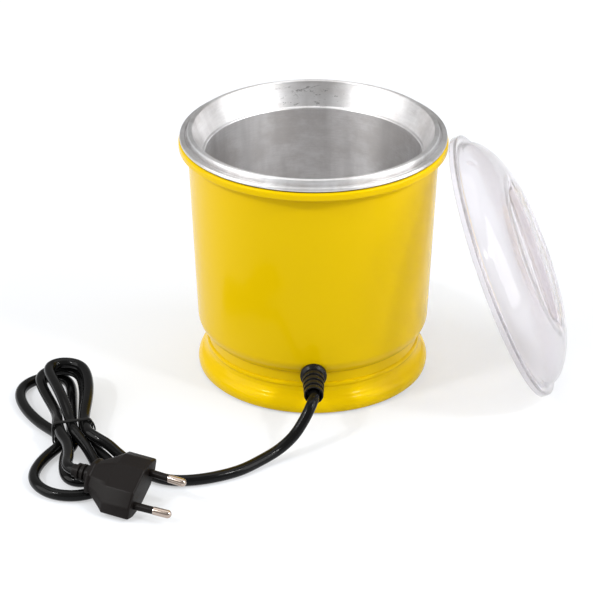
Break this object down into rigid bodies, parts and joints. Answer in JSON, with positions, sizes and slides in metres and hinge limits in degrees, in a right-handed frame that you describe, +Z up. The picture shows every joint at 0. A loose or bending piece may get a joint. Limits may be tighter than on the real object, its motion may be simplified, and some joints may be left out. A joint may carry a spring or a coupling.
{
  "type": "dental lab wax heater",
  "caption": "Electric wax pot: spun aluminium bowl in a painted steel shell on a flared foot, with a clear domed lid leaned beside it and a tied mains cord with a flat two-pin plug.",
  "frame": {"origin": "pot axis at the table, under the feet", "axes": "+Z up along the pot's axis, -Y towards the cord's exit, +X towards the leaned lid"},
  "size_m": [0.282, 0.2288, 0.1326],
  "materials": {
    "yellow_paint": "gloss enamel",
    "spun_aluminium": "spun and brushed",
    "clear_plastic": "clear moulded plastic",
    "black_rubber": "satin",
    "cord_jacket": "satin PVC",
    "black_plastic": "matt",
    "plug_black": "satin",
    "pin_metal": "nickel plated",
    "ceramic_fibre": "fibre felt",
    "ceramic_white": "glazed ceramic",
    "brass": "plain",
    "steel": "zinc plated",
    "wire_brown": "satin",
    "wire_blue": "satin",
    "wire_white": "glass sleeve"
  },
  "bodies": {
    "heater": {"body_shell": "yellow_paint", "base_ring": "yellow_paint", "bottom_cover": "steel", "rubber_feet": "black_rubber", "cover_screws": "steel", "cover_spacers": "steel", "cover_nuts": "steel", "inner_pot": "spun_aluminium", "rim_gasket": "black_rubber", "heater_plate": "steel", "insulation_disc": "ceramic_fibre", "heat_shield": "steel", "centre_stud": "steel", "shield_washer": "steel", "shield_nut": "steel", "support_bridge": "steel", "bridge_washer": "steel", "bridge_nut": "steel", "insulation_wrap": "ceramic_fibre", "wrap_straps": "steel", "thermostat": "black_plastic", "thermostat_bracket": "steel", "bracket_screws": "steel", "thermal_fuse": "pin_metal", "fuse_clip": "steel", "fuse_screw": "steel", "terminal_block": "ceramic_white", "terminal_inserts": "brass", "block_screw": "steel", "cord_saddle": "black_plastic", "cord_clamp": "black_plastic", "clamp_screws": "steel", "strain_relief": "black_rubber", "inner_lead": "cord_jacket", "live_lead": "wire_brown", "neutral_lead": "wire_blue", "heater_leads": "wire_white", "cord_lead": "cord_jacket", "cord_hank": "cord_jacket", "cord_tie": "black_plastic", "plug_body": "plug_black", "plug_sleeves": "plug_black", "plug_pins": "pin_metal"},
    "lid": {"lid": "clear_plastic"}
  },
  "joints": [
    {"name": "lid_lift", "type": "slide", "parent": "heater", "child": "lid", "axis": [0, 0, 1], "range_m": [0, 0.16]}
  ]
}
